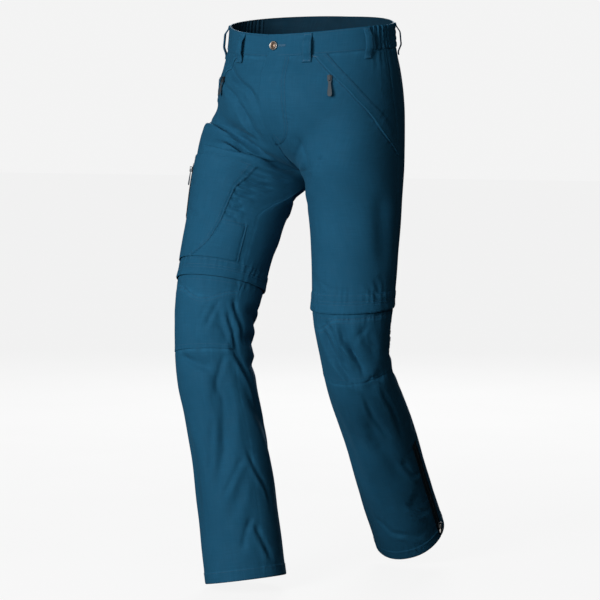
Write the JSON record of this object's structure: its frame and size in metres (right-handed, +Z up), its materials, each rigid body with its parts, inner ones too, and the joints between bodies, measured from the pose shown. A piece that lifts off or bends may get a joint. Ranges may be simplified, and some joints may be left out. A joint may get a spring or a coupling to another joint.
{
  "type": "hiking trousers",
  "caption": "Zip-off hiking trousers in a walking pose, filled out and hollow, with belt loops, elastic sides, slant pockets, a thigh pocket and ankle zips.",
  "frame": {"origin": "centre of the waist opening, level with the top edge of the waistband at the side seams", "axes": "+Z up, out of the waist; the wearer faces -Y; +X is the wearer's left"},
  "size_m": [0.3809, 0.5487, 1.0372],
  "materials": {
    "cloth": "fine matt woven nylon, petrol blue",
    "elastic": "gathered woven elastic, petrol blue",
    "zip_tape": "dark woven tape with a fine coil",
    "slider_metal": "dark satin metal",
    "button_metal": "satin metal, slightly coppery in the middle",
    "pull_grey": "matt moulded grey"
  },
  "bodies": {
    "trousers": {"ankle_left_slider": "slider_metal", "ankle_right_slider": "slider_metal", "ankle_zip_left": "zip_tape", "ankle_zip_right": "zip_tape", "back_left": "cloth", "back_right": "cloth", "belt_loop_back": "cloth", "belt_loop_front_left": "cloth", "belt_loop_front_right": "cloth", "belt_loop_hip_left": "cloth", "belt_loop_hip_right": "cloth", "belt_loop_side_left": "cloth", "belt_loop_side_right": "cloth", "button": "button_metal", "calf_left": "cloth", "calf_right": "cloth", "fly": "cloth", "front_left": "cloth", "front_right": "cloth", "knee_left": "cloth", "knee_right": "cloth", "knee_top_left": "cloth", "knee_top_right": "cloth", "pocket_left_slider": "slider_metal", "pocket_right_slider": "slider_metal", "pocket_welt_left": "cloth", "pocket_welt_right": "cloth", "shin_left": "cloth", "shin_right": "cloth", "side_front_left": "cloth", "side_front_right": "cloth", "thigh_patch": "cloth", "thigh_pocket": "cloth", "thigh_slider": "slider_metal", "thigh_zip": "zip_tape", "waistband_back": "cloth", "waistband_elastic_left": "elastic", "waistband_elastic_right": "elastic", "waistband_front_left": "cloth", "waistband_front_right": "cloth", "zip_flap_left": "cloth", "zip_flap_right": "cloth", "zip_ring_left": "zip_tape", "zip_ring_right": "zip_tape"},
    "pocket_left_pull": {"pocket_left_pull": "pull_grey"},
    "pocket_right_pull": {"pocket_right_pull": "pull_grey"},
    "thigh_pull": {"thigh_pull": "pull_grey"},
    "ankle_left_pull": {"ankle_left_pull": "button_metal"},
    "ankle_right_pull": {"ankle_right_pull": "button_metal"}
  },
  "joints": [
    {"name": "pocket_left_pull_hinge", "type": "hinge", "parent": "trousers", "child": "pocket_left_pull", "pos_m": [0.12093, -0.11045, -0.09676], "axis": [-0.8131, -0.5822, 0], "range_deg": [0, 150]},
    {"name": "pocket_right_pull_hinge", "type": "hinge", "parent": "trousers", "child": "pocket_right_pull", "pos_m": [-0.12106, -0.11063, -0.09671], "axis": [-0.8131, 0.5822, 0], "range_deg": [0, 150]},
    {"name": "thigh_pull_hinge", "type": "hinge", "parent": "trousers", "child": "thigh_pull", "pos_m": [-0.18223, -0.12658, -0.26141], "axis": [-0.598, 0.8015, 0], "range_deg": [0, 150]},
    {"name": "ankle_left_pull_hinge", "type": "hinge", "parent": "trousers", "child": "ankle_left_pull", "pos_m": [0.13469, 0.23614, -0.94211], "axis": [0.168, -0.9858, 0], "range_deg": [0, 150]},
    {"name": "ankle_right_pull_hinge", "type": "hinge", "parent": "trousers", "child": "ankle_right_pull", "pos_m": [-0.0933, -0.14774, -0.98838], "axis": [0.3486, 0.9373, 0], "range_deg": [0, 150]}
  ]
}
